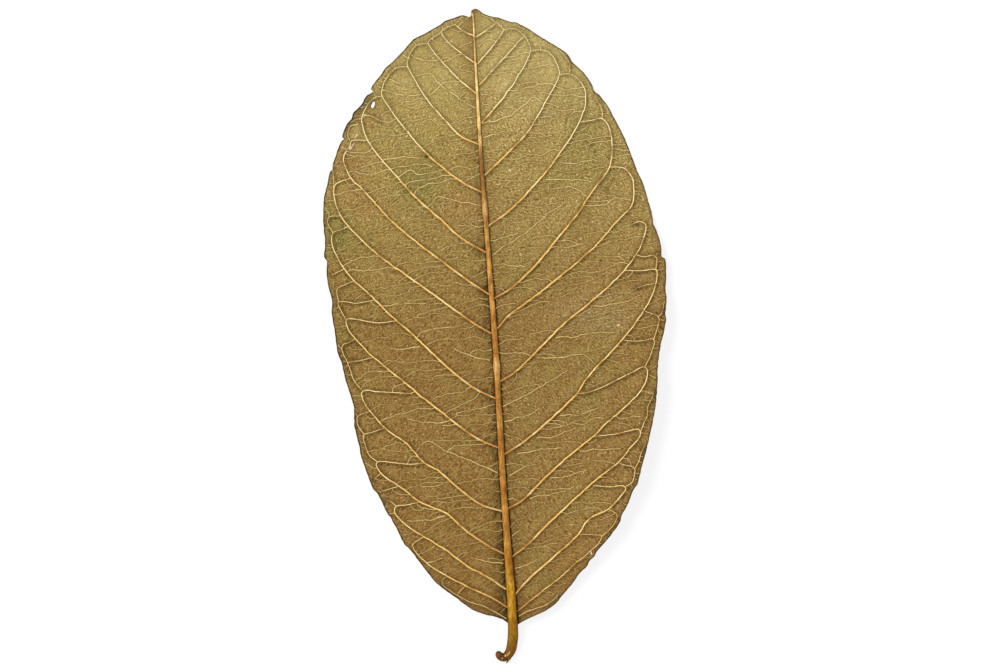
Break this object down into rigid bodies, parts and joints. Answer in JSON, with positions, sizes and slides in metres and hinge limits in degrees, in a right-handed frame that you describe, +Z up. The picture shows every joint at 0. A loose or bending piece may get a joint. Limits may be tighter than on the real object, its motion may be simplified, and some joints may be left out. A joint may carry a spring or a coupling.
{
  "type": "dried leaf",
  "caption": "Dried broad oval leaf lying underside up, with a raised midrib, arching side veins, a fine net between them and a short curled stalk.",
  "frame": {"origin": "middle of the leaf's box, in the plane that the leaf lies on", "axes": "+Y along the midrib from the stalk to the tip, +Z up out of the leaf's underside, +X to the right of the midrib as seen from above"},
  "size_m": [0.0698, 0.1338, 0.0077],
  "materials": {
    "dry_leaf": "matte"
  },
  "bodies": {
    "root": {"leaf": "dry_leaf"}
  },
  "joints": []
}
